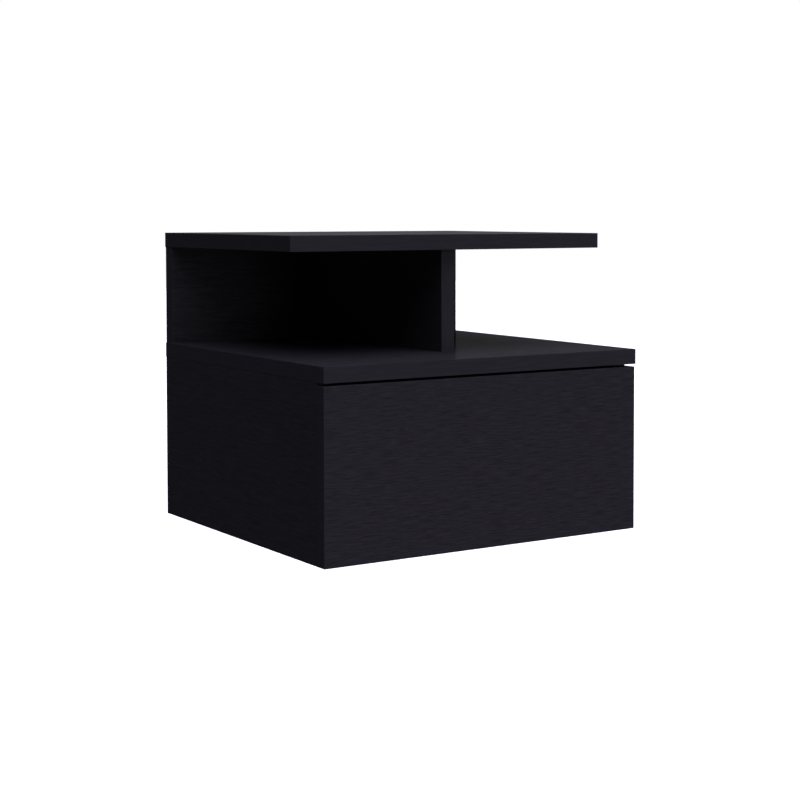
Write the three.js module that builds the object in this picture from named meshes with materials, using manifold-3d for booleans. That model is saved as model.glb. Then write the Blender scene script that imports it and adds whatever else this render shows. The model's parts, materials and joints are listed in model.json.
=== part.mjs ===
// Wall-hung nightstand of melamine-faced board: an open shelf with a divider over one drawer on roller runners.
// Millimetres, +Z up, front towards -Y. The origin is on the wall, at the middle of the panel screwed to it.
import * as THREE from "three";
import { mergeVertices } from "three/addons/utils/BufferGeometryUtils.js";
import Module from "manifold-3d";

const wasm = await Module();
wasm.setup();

// Case
const shelfWidth = 355;
const shelfDepth = 340;
const boardThickness = 15;
const caseHeight = 165;
const bayHeight = 100;
const topSetback = 61.5;
const dividerSetback = 15;
const dividerOffset = 3.5;
const rightInset = 1.5;
const sideRearInset = 1;
const upperBackInset = 0.5;

// Drawer
const frontGap = 2.5;
const frontClearance = 0.5;
const gripHeight = 25;
const drawerHeight = 110;
const drawerRearGap = 10;
const drawerBoard = 12;
const bottomThickness = 3;
const bottomLift = 12;
const grooveDepth = 5;

// Clearance of hardware in its bores and on its seats, and how far a cut runs past a face
const fit = 0.25;
const overrun = 2;

// Roller runners, folded from steel sheet. Their gaps lie between what moves and what stands still.
const sideSpace = 12.5;
const sheet = 1.2;
const bendRadius = 0.5;
const caseRunnerSetback = 2;
const caseRunnerRearGap = 7.5;
const caseRunnerDrop = 1.5;
const channelFlange = 9.5;
const trackLipHeight = 2.5;
const leadIn = 45;
const drawerRunnerSetback = 0.5;
const drawerRunnerRearSetback = 1.5;
const railLipHeight = 2.5;
const footFlange = 10;
const travelShare = 0.75;
const stopRadius = 2;
const trackGap = 0.3;
const sideGap = 0.4;
const rollerFloorGap = 1.2;
const railTopGap = 0.8;
const rollerTopGap = 0.7;

// Nylon rollers and the stepped rivets that carry them
const caseRollerRadius = 9;
const rollerWidth = 5.3;
const rollerChamfer = 0.5;
const rollerEndDistance = 14;
const rollerClear = 1.5;
const rollerPlay = 0.3;
const recessGap = 0.6;
const rivetShank = 2.5;
const rivetShoulder = 4.5;
const rivetHead = 4;
const rivetHeadHeight = 0.9;
const rollerPocketRadius = 1.1;
const rollerPocketDepth = 2.2;

// Cam fittings: a housing let into the face of one board catches a bolt screwed into another
const camRadius = 7.3;
const camWall = 0.5;
const camSetback = 24;
const camChamfer = 0.4;
const camCrossLength = 8;
const camCrossWidth = 1.6;
const camCrossDepth = 2;
const boltThread = 2.4;
const boltThreadLength = 10.8;
const boltShank = 3.6;
const boltShankGap = 1.2;
const boltNeck = 2;
const boltHead = 2.7;
const boltHeadLength = 4.5;
const sideCamInset = 50;
const topCamInset = 60;
const rearCamHeight = 50;
const frontCamRise = 62;

// Screws driven flush, with a countersunk head: one-piece connectors with a hexagon socket, and wood screws.
// The smooth shank ends just short of the seam between the two boards.
const shankGap = 0.5;
const euroHead = 4.8;
const euroRim = 0.8;
const euroCone = 3.6;
const euroShank = 3.4;
const euroCore = 2.4;
const euroLength = 49;
const euroTip = 4;
const socketRadius = 2.3;
const socketDepth = 2.2;
const woodHead = 3.8;
const woodRim = 0.4;
const woodCone = 2.6;
const woodShank = 2;
const woodCore = 1.8;
const woodLength = 38;
const woodTip = 4;
const crossLength = 4.4;
const crossWidth = 0.9;
const crossDepth = 1.6;
const dividerScrewFront = 40;
const dividerScrewRear = 60;
const drawerBackScrewRise = 66;

// Pan-head screws of the runners
const panHead = 3.1;
const panHeadHeight = 1.6;
const panCrownShare = 0.6;
const panShank = 1.6;
const panLength = 12;
const panTip = 2.5;
const caseScrewFirst = 35;
const caseScrewLast = 41;
const drawerScrewFirst = 32;
const drawerScrewLast = 58;

// Dowels and the countersunk holes for the wall screws
const dowelRadius = 3.8;
const dowelLength = 24;
const dowelChamfer = 1;
const dowelInTop = 8.5;
const wallHoleRadius = 3;
const wallHoleHead = 6;
const wallHoleInset = 55;
const wallHoleHeight = 45;

// Facet counts
const roundFacets = 24;
const boreFacets = 10;
const hexFacets = 6;
const bendFacets = 3;
const rollerPockets = 5;

// Planes that the boards share, so that faces which touch have the very same place
const shelfLeft = -shelfWidth / 2;
const shelfRight = shelfWidth / 2;
const shelfFront = -shelfDepth;
const wall = 0;
const caseBottom = -caseHeight / 2;
const shelfUnder = caseHeight / 2;
const shelfTop = shelfUnder + boardThickness;
const topUnder = shelfTop + bayHeight;
const topUpper = topUnder + boardThickness;
const topFront = shelfFront + topSetback;
const upperBackRear = wall - upperBackInset;
const upperBackFront = upperBackRear - boardThickness;
const dividerFront = topFront + dividerSetback;
const dividerLeft = dividerOffset - boardThickness / 2;
const dividerRight = dividerOffset + boardThickness / 2;
const sideLeftInner = shelfLeft + boardThickness;
const sideRightOuter = shelfRight - rightInset;
const sideRightInner = sideRightOuter - boardThickness;
const frontRear = shelfFront + boardThickness;
const sideFront = frontRear + frontClearance;
const sideRear = wall - sideRearInset;
const lowerBackFront = wall - boardThickness;
const frontTop = shelfUnder - frontGap;
const boxUnder = caseBottom + gripHeight;
const boxTop = boxUnder + drawerHeight;
const boxRear = lowerBackFront - drawerRearGap;
const boxBackFront = boxRear - drawerBoard;
const bottomUnder = boxUnder + bottomLift;
const bottomTop = bottomUnder + bottomThickness;

// The two hands of the drawer space: inward points from the side panel to the drawer
const hands = [
  { hand: "left", inward: 1, sideOuter: shelfLeft, sideInner: sideLeftInner },
  { hand: "right", inward: -1, sideOuter: sideRightOuter, sideInner: sideRightInner },
];
for (const h of hands) {
  h.boxOuter = h.sideInner + h.inward * sideSpace;
  h.boxInner = h.boxOuter + h.inward * drawerBoard;
  h.bottomEdge = h.boxInner - h.inward * (grooveDepth - fit);
  h.grooveEnd = h.boxInner - h.inward * grooveDepth;
}
const [left, right] = hands;

const X = new THREE.Vector3(1, 0, 0);
const Y = new THREE.Vector3(0, 1, 0);
const Z = new THREE.Vector3(0, 0, 1);
const back = (v) => v.clone().negate();
const at = (x, y, z) => new THREE.Vector3(x, y, z);

const melamine = new THREE.MeshStandardMaterial({ name: "black_melamine", color: 0x1c1b1e, roughness: 0.55 });
const boxBoard = new THREE.MeshStandardMaterial({ name: "drawer_board", color: 0x222124, roughness: 0.6 });
const fibreboard = new THREE.MeshStandardMaterial({ name: "fibreboard", color: 0x2a2829, roughness: 0.7 });
const coated = new THREE.MeshStandardMaterial({ name: "coated_steel", color: 0xb9bcbf, roughness: 0.45 });
const zinc = new THREE.MeshStandardMaterial({ name: "zinc", color: 0xa9abad, roughness: 0.35, metalness: 1 });
const nylon = new THREE.MeshStandardMaterial({ name: "nylon", color: 0xe6e4de, roughness: 0.5 });
const beech = new THREE.MeshStandardMaterial({ name: "beech", color: 0xc9a06c, roughness: 0.7 });

// A closed geometry as a solid for boolean cuts
function solid(geometry) {
  const bare = geometry.clone();
  bare.deleteAttribute("normal");
  bare.deleteAttribute("uv");
  const merged = mergeVertices(bare);
  const corners = merged.index.array;
  const faces = [];
  for (let i = 0; i < corners.length; i += 3) {
    const [a, b, c] = corners.slice(i, i + 3);
    if (a !== b && b !== c && c !== a) faces.push(a, b, c);
  }
  const vertProperties = merged.attributes.position.array;
  return new wasm.Manifold(new wasm.Mesh({ numProp: 3, vertProperties, triVerts: new Uint32Array(faces) }));
}

function geometryOf(shape) {
  const { vertProperties, triVerts } = shape.getMesh();
  const geometry = new THREE.BufferGeometry();
  geometry.setAttribute("position", new THREE.BufferAttribute(new Float32Array(vertProperties), 3));
  geometry.setIndex(new THREE.BufferAttribute(new Uint32Array(triVerts), 1));
  const facetted = geometry.toNonIndexed();
  facetted.computeVertexNormals();
  return facetted;
}

// A box between two places on each axis, in either order
function slab(xs, ys, zs) {
  const geometry = new THREE.BoxGeometry(1, 1, 1);
  const corner = geometry.attributes.position;
  const ends = [xs, ys, zs].map((pair) => [Math.min(...pair), Math.max(...pair)]);
  for (let i = 0; i < corner.count; i++) {
    const signs = [corner.getX(i), corner.getY(i), corner.getZ(i)];
    corner.setXYZ(i, ...ends.map(([low, high], axis) => (signs[axis] < 0 ? low : high)));
  }
  return solid(geometry);
}

// A turned solid about its own +Y axis, from [radius, height] pairs listed upwards
function turned(profile, facets = boreFacets) {
  return solid(new THREE.LatheGeometry(profile.map((pair) => new THREE.Vector2(...pair)), facets));
}

function rod(radius, from, to, facets = boreFacets) {
  return turned([[0, from], [radius, from], [radius, to], [0, to]], facets);
}

// The turn and place that put a piece's own +Y axis along a direction, and its own +X axis along another
function seat(place, along, across) {
  const turn = new THREE.Matrix4();
  if (across) turn.makeBasis(across, along, across.clone().cross(along));
  else turn.makeRotationFromQuaternion(new THREE.Quaternion().setFromUnitVectors(Y, along));
  return turn.setPosition(place);
}
const moved = (shape, matrix) => shape.transform(matrix.elements);

// An outline drawn in X and Z, drawn out along Y between two places
function drawnOut(outline, yFront, yRear) {
  const shape = new THREE.Shape(outline);
  const geometry = new THREE.ExtrudeGeometry(shape, { depth: yRear - yFront, bevelEnabled: false });
  geometry.rotateX(Math.PI / 2).translate(0, yRear, 0);
  return solid(geometry);
}

// The outline of a folded sheet whose middle line runs through the given corners, with a round bend at each
function foldedOutline(corners) {
  const radius = bendRadius + sheet / 2;
  const line = [];
  corners.forEach((corner, i) => {
    if (i === 0 || i === corners.length - 1) {
      const run = i === 0 ? corners[1].clone().sub(corner) : corner.clone().sub(corners[i - 1]);
      line.push({ point: corner, angle: run.angle() });
      return;
    }
    const into = corner.clone().sub(corners[i - 1]).normalize();
    const out = corners[i + 1].clone().sub(corner).normalize();
    const turn = Math.sign(into.cross(out));
    const start = corner.clone().addScaledVector(into, -radius);
    const side = new THREE.Vector2(-into.y, into.x).multiplyScalar(turn);
    const centre = start.clone().addScaledVector(side, radius);
    for (let step = 0; step <= bendFacets; step++) {
      const swing = (turn * Math.PI * step) / (2 * bendFacets);
      line.push({ point: start.clone().rotateAround(centre, swing), angle: into.angle() + swing });
    }
  });
  const beside = ({ point, angle }, offset) =>
    new THREE.Vector2(point.x - offset * Math.sin(angle), point.y + offset * Math.cos(angle));
  const near = line.map((sample) => beside(sample, sheet / 2));
  const far = line.map((sample) => beside(sample, -sheet / 2));
  return [...near, ...far.reverse()];
}

// Cuts waiting for the board or runner that they are made in
const cuts = new Map();
function bore(name, shape) {
  cuts.set(name, [...(cuts.get(name) ?? []), shape]);
}

const caseGroup = new THREE.Group();
const drawerGroup = new THREE.Group();

// A named piece in its own frame, set in place by a matrix, or drawn where it belongs
function piece(group, name, shape, material, place) {
  const waiting = cuts.get(name) ?? [];
  const mesh = new THREE.Mesh(geometryOf(waiting.reduce((rest, cut) => rest.subtract(cut), shape)), material);
  mesh.name = name;
  if (place) place.decompose(mesh.position, mesh.quaternion, mesh.scale);
  group.add(mesh);
}

// Cross recess sunk below a height of the piece's own axis
function cross(top, length, width, depth) {
  const heights = [top - depth, top + overrun];
  const one = slab([-length / 2, length / 2], heights, [-width / 2, width / 2]);
  return one.add(slab([-width / 2, width / 2], heights, [-length / 2, length / 2]));
}

// Cam fitting. The seam point is on the bolt's axis, "into" runs from there into the cam's board,
// and "face" runs from the bolt's axis to the face that the cam is let into.
function camFitting(group, label, boards, seam, into, face) {
  const half = boards.thickness / 2;
  const camCentre = seam.clone().addScaledVector(into, camSetback);
  const camSeat = seat(camCentre, face, back(into));
  const bodyFloor = -boltHead - fit - camWall;
  const bodyTop = half - fit;
  const chamber = rod(boltHead + fit, -boltHeadLength / 2 - fit, boltHeadLength / 2 + fit);
  const neckWay = rod(boltNeck + fit, 0, camRadius + overrun);
  const way = moved(chamber.add(neckWay), seat(at(0, 0, 0), X));
  const housing = turned(
    [[0, bodyFloor], [camRadius, bodyFloor], [camRadius, bodyTop - camChamfer],
      [camRadius - camChamfer, bodyTop], [0, bodyTop]],
    roundFacets,
  );
  const recess = cross(bodyTop, camCrossLength, camCrossWidth, camCrossDepth);
  piece(group, label + "_cam" + boards.suffix, housing.subtract(way).subtract(recess), zinc, camSeat);
  bore(boards.cam, moved(rod(camRadius + fit, bodyFloor - fit, half + overrun, roundFacets), camSeat));

  const shankEnd = camSetback - camRadius - boltShankGap;
  const headFrom = camSetback - boltHeadLength / 2;
  const headTo = camSetback + boltHeadLength / 2;
  const boltSeat = seat(seam, into);
  const bolt = turned([
    [0, -boltThreadLength], [boltThread, -boltThreadLength], [boltThread, fit], [boltShank, fit],
    [boltShank, shankEnd], [boltNeck, shankEnd], [boltNeck, headFrom],
    [boltHead, headFrom], [boltHead, headTo], [0, headTo],
  ]);
  piece(group, label + "_bolt" + boards.suffix, bolt, zinc, boltSeat);
  bore(boards.cam, moved(rod(boltShank + 2 * fit, -overrun, camSetback), boltSeat));
  bore(boards.bolt, moved(rod(boltThread + fit, -boltThreadLength - fit, overrun), boltSeat));
}

// Screw driven flush through one board into the next, from a point on the outer face
function flushScrew(group, name, spec, boards, place, into, driveRecess) {
  const { head, rim, cone, shank, core, length, tip } = spec;
  const screwSeat = seat(place, into);
  const shankEnd = boards.through - shankGap;
  const body = turned([
    [0, fit], [head, fit], [head, fit + rim], [shank, cone], [shank, shankEnd],
    [core, shankEnd], [core, length - tip], [0, length],
  ]);
  piece(group, name, body.subtract(driveRecess), zinc, screwSeat);
  const wide = turned([
    [0, -overrun], [head + fit, -overrun], [head + fit, 2 * fit + rim], [shank + fit, cone + 2 * fit],
    [shank + fit, boards.through + overrun], [0, boards.through + overrun],
  ]);
  bore(boards.outer, moved(wide, screwSeat));
  bore(boards.inner, moved(rod(core + fit, boards.through - overrun, length + fit), screwSeat));
}
const euroScrew = {
  head: euroHead, rim: euroRim, cone: euroCone, shank: euroShank,
  core: euroCore, length: euroLength, tip: euroTip,
};
const woodScrew = {
  head: woodHead, rim: woodRim, cone: woodCone, shank: woodShank,
  core: woodCore, length: woodLength, tip: woodTip,
};
const hexSocket = rod(socketRadius, -overrun, fit + socketDepth, hexFacets);
const crossSocket = moved(cross(0, crossLength, crossWidth, crossDepth), seat(at(0, fit, 0), back(Y)));

// Pan-head screw that holds a runner's sheet to a board. The point is on the board, "into" runs into it.
function panScrew(group, name, runner, board, place, into) {
  const screwSeat = seat(place, into);
  const under = -sheet - fit;
  const top = under - panHeadHeight;
  const tipEnd = panLength - sheet;
  const body = turned([
    [0, top], [panHead * panCrownShare, top], [panHead, under - panHeadHeight / 2], [panHead, under],
    [panShank, under], [panShank, tipEnd - panTip], [0, tipEnd],
  ]);
  piece(group, name, body, zinc, screwSeat);
  bore(runner, moved(rod(panShank + fit, -sheet - overrun, overrun), screwSeat));
  bore(board, moved(rod(panShank + fit, -overrun, tipEnd + fit), screwSeat));
}

// Roller on its stepped rivet. The place is on the back of the sheet that carries it, and "out" runs from it.
function rollerOnRivet(group, label, runner, radius, standoff, place, out) {
  const end = standoff + rollerWidth;
  const rollerBore = rivetShank + rollerPlay;
  const rollerRecess = rivetHead + recessGap;
  const recessFloor = end - rivetHeadHeight - 2 * fit;
  const wheel = turned(
    [[rollerBore, standoff], [radius - rollerChamfer, standoff], [radius, standoff + rollerChamfer],
      [radius, end - rollerChamfer], [radius - rollerChamfer, end], [rollerRecess, end],
      [rollerRecess, recessFloor], [rollerBore, recessFloor], [rollerBore, standoff]],
    roundFacets,
  );
  let pocketed = wheel;
  const pocketCircle = (rollerRecess + radius) / 2;
  for (let i = 0; i < rollerPockets; i++) {
    const swing = (2 * Math.PI * i) / rollerPockets;
    const centre = at(pocketCircle * Math.cos(swing), 0, pocketCircle * Math.sin(swing));
    const pocket = rod(rollerPocketRadius, end - rollerPocketDepth, end + overrun);
    pocketed = pocketed.subtract(moved(pocket, seat(centre, Y)));
  }
  const wheelSeat = seat(place, out);
  piece(group, label + "_roller", pocketed, nylon, wheelSeat);
  const rivet = turned([
    [0, fit], [rivetShank, fit], [rivetShank, sheet + fit], [rivetShoulder, sheet + fit],
    [rivetShoulder, standoff - fit], [rivetShank, standoff - fit], [rivetShank, recessFloor + fit],
    [rivetHead, recessFloor + fit], [rivetHead, end - fit], [0, end - fit],
  ]);
  piece(group, label + "_roller_rivet", rivet, zinc, wheelSeat);
  bore(runner, moved(rod(rivetShank + fit, -overrun, sheet + overrun), wheelSeat));
}

// Heights of the runners. The track is the upper side of the case runner's lower flange. The drawer runner's
// rail lies on the case's roller, and the drawer's roller fits between the track and the upper flange.
const track = boxUnder - caseRunnerDrop;
const railUnder = track + rollerFloorGap + 2 * caseRollerRadius + trackGap;
const channelUnder = railUnder + sheet + railTopGap;
const drawerRollerRadius = (channelUnder - rollerTopGap - track - trackGap) / 2;
const caseRollerHeight = railUnder - trackGap - caseRollerRadius;
const drawerRollerHeight = track + trackGap + drawerRollerRadius;

// Places across the space beside the drawer, counted from the side panel: the drawer runner's web, the track's
// lip next to it, the case's roller, the rail's lip beyond that, and the drawer's roller next to the track's lip
const webFace = sideSpace - fit - sheet;
const trackLip = webFace - sideGap - sheet / 2;
const caseRollerStandoff = webFace - sideGap - rollerWidth;
const railLip = caseRollerStandoff - sideGap - sheet / 2;
const drawerRollerStandoff = sideSpace - (trackLip - sheet / 2 - sideGap);

// Ends of the runners, front to rear, and what moves along them
const caseRunnerFront = sideFront + caseRunnerSetback;
const caseRunnerRear = lowerBackFront - caseRunnerRearGap;
const drawerRunnerFront = frontRear + drawerRunnerSetback;
const drawerRunnerRear = boxRear - drawerRunnerRearSetback;
const drawerTravel = travelShare * (caseRunnerRear - caseRunnerFront);
const caseRollerPlace = caseRunnerFront + rollerEndDistance;
const drawerRollerPlace = drawerRunnerRear - rollerEndDistance;

// The runner fixed in the case: a channel with a lip along its track, and a roller at its front end.
// Its upper flange starts further back, so that the drawer's rear rollers drop in over the front ones.
function caseRunner({ hand, inward, sideInner }) {
  const from = (distance) => sideInner + inward * distance;
  const middle = sheet / 2 + fit;
  const outline = foldedOutline([
    new THREE.Vector2(from(channelFlange), channelUnder + sheet / 2),
    new THREE.Vector2(from(middle), channelUnder + sheet / 2),
    new THREE.Vector2(from(middle), track - sheet / 2),
    new THREE.Vector2(from(trackLip), track - sheet / 2),
    new THREE.Vector2(from(trackLip), track + trackLipHeight),
  ]);
  const name = "case_runner_" + hand;
  const lipEnd = caseRollerPlace + caseRollerRadius + rollerClear;
  const beyond = [from(sheet + middle), from(sideSpace)];
  const lipFrom = from(trackLip - sheet / 2 - bendRadius);
  bore(name, slab(beyond, [caseRunnerFront - overrun, caseRunnerFront + leadIn],
    [channelUnder - fit, channelUnder + sheet + overrun]));
  bore(name, slab([lipFrom, from(sideSpace)], [caseRunnerFront - overrun, lipEnd],
    [track - sheet - overrun, track + trackLipHeight + overrun]));

  // The stop pressed up from the track just ahead of the drawer's roller at full travel
  const reach = drawerRollerRadius + stopRadius + trackGap;
  const ahead = Math.sqrt(reach ** 2 - (drawerRollerRadius + trackGap) ** 2);
  const stopPlace = drawerRollerPlace - drawerTravel - ahead;
  const stopSeat = seat(at(0, stopPlace, track), X);
  const stopEnds = [from(sheet + middle), lipFrom].sort((a, b) => a - b);
  const nib = moved(rod(stopRadius, ...stopEnds), stopSeat);
  const stopReach = [stopPlace - reach, stopPlace + reach];
  const aboveTrack = slab(stopEnds, stopReach, [track - sheet / 2, track + reach]);
  const profile = drawnOut(outline, caseRunnerFront, caseRunnerRear).add(nib.intersect(aboveTrack));

  const place = at(sideInner, caseRollerPlace, caseRollerHeight);
  const out = X.clone().multiplyScalar(inward);
  rollerOnRivet(caseGroup, "case_" + hand, name, caseRollerRadius, caseRollerStandoff, place, out);
  const screws = { front: caseRunnerFront + caseScrewFirst, rear: caseRunnerRear - caseScrewLast };
  for (const [end, y] of Object.entries(screws)) {
    const screwPlace = at(sideInner, y, (track + channelUnder) / 2);
    const screw = "case_runner_screw_" + hand + "_" + end;
    panScrew(caseGroup, screw, name, hand + "_side", screwPlace, back(out));
  }
  piece(caseGroup, name, profile, coated);
}

// The runner under the drawer's side: a foot below it, a web beside it and a rail that rides on a roller.
// The rail is cut away at the rear end, round the drawer's own roller.
function drawerRunner({ hand, inward, boxOuter }) {
  const from = (distance) => boxOuter + inward * distance;
  const middle = -sheet / 2 - fit;
  const railMiddle = railUnder + sheet / 2;
  const footMiddle = boxUnder - sheet / 2 - fit;
  const lipMiddle = railLip - sideSpace;
  const outline = foldedOutline([
    new THREE.Vector2(from(footFlange), footMiddle),
    new THREE.Vector2(from(middle), footMiddle),
    new THREE.Vector2(from(middle), railMiddle),
    new THREE.Vector2(from(lipMiddle), railMiddle),
    new THREE.Vector2(from(lipMiddle), railUnder - railLipHeight),
  ]);
  const name = "drawer_runner_" + hand;
  const railEnd = drawerRollerPlace - drawerRollerRadius - rollerClear;
  bore(name, slab([from(-sideSpace), from(middle - sheet / 2)], [railEnd, drawerRunnerRear + overrun],
    [railUnder - railLipHeight - overrun, railMiddle + overrun]));

  const place = at(boxOuter, drawerRollerPlace, drawerRollerHeight);
  const out = X.clone().multiplyScalar(-inward);
  rollerOnRivet(drawerGroup, "drawer_" + hand, name, drawerRollerRadius, drawerRollerStandoff, place, out);
  const screws = { front: drawerRunnerFront + drawerScrewFirst, rear: drawerRunnerRear - drawerScrewLast };
  for (const [end, y] of Object.entries(screws)) {
    const screwPlace = at(from(drawerBoard / 2), y, boxUnder);
    const screw = "drawer_runner_screw_" + hand + "_" + end;
    panScrew(drawerGroup, screw, name, "drawer_" + hand + "_side", screwPlace, Z);
  }
  piece(drawerGroup, name, drawnOut(outline, drawerRunnerFront, drawerRunnerRear), coated);
}

// The side panels hang under the shelf board on two cam fittings each, and hold the wall panel between them
function sideJoints({ hand, inward, sideInner }) {
  const middle = sideInner - (inward * boardThickness) / 2;
  const inwards = X.clone().multiplyScalar(inward);
  const places = { front: sideFront + sideCamInset, rear: sideRear - sideCamInset };
  for (const [end, y] of Object.entries(places)) {
    const boards = { cam: hand + "_side", bolt: "shelf_board", thickness: boardThickness, suffix: "_" + end };
    camFitting(caseGroup, hand + "_side", boards, at(middle, y, shelfUnder), back(Z), inwards);
  }
  const wallBoards = { cam: "lower_back_panel", bolt: hand + "_side", thickness: boardThickness, suffix: "" };
  const seam = at(sideInner, wall - boardThickness / 2, rearCamHeight);
  camFitting(caseGroup, "lower_back_" + hand, wallBoards, seam, inwards, back(Y));
}

// The upper back panel: cam fittings to the top board from its rear face, screws from below the shelf board
function upperBackJoints({ hand, inward }) {
  const x = -inward * (shelfRight - topCamInset);
  const y = (upperBackRear + upperBackFront) / 2;
  const boards = { cam: "upper_back_panel", bolt: "top_board", thickness: boardThickness, suffix: "" };
  camFitting(caseGroup, "upper_back_" + hand, boards, at(x, y, topUnder), back(Z), Y);
  const screwed = { outer: "shelf_board", inner: "upper_back_panel", through: boardThickness };
  flushScrew(caseGroup, "upper_back_screw_" + hand, euroScrew, screwed, at(x, y, shelfUnder), Z, hexSocket);
}

// The divider: screwed from below the shelf board and dowelled to the top board
function dividerJoints() {
  const places = { front: dividerFront + dividerScrewFront, rear: upperBackFront - dividerScrewRear };
  for (const [end, y] of Object.entries(places)) {
    const boards = { outer: "shelf_board", inner: "divider", through: boardThickness };
    const screwPlace = at(dividerOffset, y, shelfUnder);
    flushScrew(caseGroup, "divider_screw_" + end, euroScrew, boards, screwPlace, Z, hexSocket);
    const dowelSeat = seat(at(dividerOffset, y, topUnder), Z);
    const low = dowelInTop - dowelLength;
    const dowel = turned([
      [0, low], [dowelRadius - dowelChamfer, low], [dowelRadius, low + dowelChamfer],
      [dowelRadius, dowelInTop - dowelChamfer], [dowelRadius - dowelChamfer, dowelInTop], [0, dowelInTop],
    ]);
    piece(caseGroup, "divider_dowel_" + end, dowel, beech, dowelSeat);
    bore("top_board", moved(rod(dowelRadius + fit, -overrun, dowelInTop + fit), dowelSeat));
    bore("divider", moved(rod(dowelRadius + fit, low - fit, overrun), dowelSeat));
  }
}

// The drawer's corners: cam fittings to the front, a screw through each side into the back
function drawerJoints({ hand, inward, boxOuter, boxInner }) {
  const inwards = X.clone().multiplyScalar(inward);
  const side = "drawer_" + hand + "_side";
  const boards = { cam: side, bolt: "drawer_front", thickness: drawerBoard, suffix: "" };
  const seam = at((boxOuter + boxInner) / 2, frontRear, boxUnder + frontCamRise);
  camFitting(drawerGroup, "drawer_front_" + hand, boards, seam, Y, inwards);
  const screwed = { outer: side, inner: "drawer_back", through: drawerBoard };
  const screwPlace = at(boxOuter, (boxBackFront + boxRear) / 2, boxUnder + drawerBackScrewRise);
  const name = "drawer_back_screw_" + hand;
  flushScrew(drawerGroup, name, woodScrew, screwed, screwPlace, inwards, crossSocket);
}

// Countersunk holes for the two wall screws, and the grooves that the drawer's bottom slides into
function wallHoles() {
  for (const { inward, sideInner } of hands) {
    const holeSeat = seat(at(sideInner + inward * wallHoleInset, lowerBackFront, wallHoleHeight), Y);
    const hole = turned([
      [0, -overrun], [wallHoleHead, -overrun], [wallHoleHead, 0],
      [wallHoleRadius, wallHoleHead - wallHoleRadius],
      [wallHoleRadius, boardThickness + overrun], [0, boardThickness + overrun],
    ]);
    bore("lower_back_panel", moved(hole, holeSeat));
  }
}
function bottomGrooves() {
  const heights = [bottomUnder - fit, bottomTop + fit];
  for (const { hand, inward, boxInner, grooveEnd } of hands) {
    const across = [grooveEnd, boxInner + inward * overrun];
    bore("drawer_" + hand + "_side", slab(across, [frontRear - overrun, boxRear + overrun], heights));
  }
  const reach = [left.grooveEnd, right.grooveEnd];
  bore("drawer_front", slab(reach, [frontRear - grooveDepth, frontRear + overrun], heights));
}

hands.forEach(caseRunner);
hands.forEach(drawerRunner);
hands.forEach(sideJoints);
hands.forEach(upperBackJoints);
dividerJoints();
hands.forEach(drawerJoints);
wallHoles();
bottomGrooves();

// The boards, each between the planes that it shares with its neighbours
const acrossShelf = [shelfLeft, shelfRight];
const acrossUpperBack = [shelfLeft + upperBackInset, shelfRight - upperBackInset];
const bay = [shelfTop, topUnder];
const box = [boxUnder, boxTop];
const boards = [
  [caseGroup, "top_board", acrossShelf, [topFront, wall], [topUnder, topUpper], melamine],
  [caseGroup, "shelf_board", acrossShelf, [shelfFront, wall], [shelfUnder, shelfTop], melamine],
  [caseGroup, "upper_back_panel", acrossUpperBack, [upperBackFront, upperBackRear], bay, melamine],
  [caseGroup, "divider", [dividerLeft, dividerRight], [dividerFront, upperBackFront], bay, melamine],
  [caseGroup, "lower_back_panel", [sideLeftInner, sideRightInner], [lowerBackFront, wall],
    [caseBottom, shelfUnder], melamine],
  [drawerGroup, "drawer_front", [shelfLeft, sideRightOuter], [shelfFront, frontRear],
    [caseBottom, frontTop], melamine],
  [drawerGroup, "drawer_back", [left.boxInner, right.boxInner], [boxBackFront, boxRear],
    [bottomTop, boxTop], boxBoard],
  [drawerGroup, "drawer_bottom", [left.bottomEdge, right.bottomEdge],
    [frontRear - grooveDepth + fit, boxRear], [bottomUnder, bottomTop], fibreboard],
];
for (const { hand, sideOuter, sideInner, boxOuter, boxInner } of hands) {
  boards.push([caseGroup, hand + "_side", [sideOuter, sideInner], [sideFront, sideRear],
    [caseBottom, shelfUnder], melamine]);
  boards.push([drawerGroup, "drawer_" + hand + "_side", [boxOuter, boxInner], [frontRear, boxRear],
    box, boxBoard]);
}
for (const [group, name, xs, ys, zs, material] of boards) {
  piece(group, name, slab(xs, ys, zs), material);
}

const nightstand = new THREE.Group();
nightstand.add(caseGroup, drawerGroup);

export default nightstand;
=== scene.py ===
import json
import math

import bmesh
import bpy
from mathutils import Matrix, Vector

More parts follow.
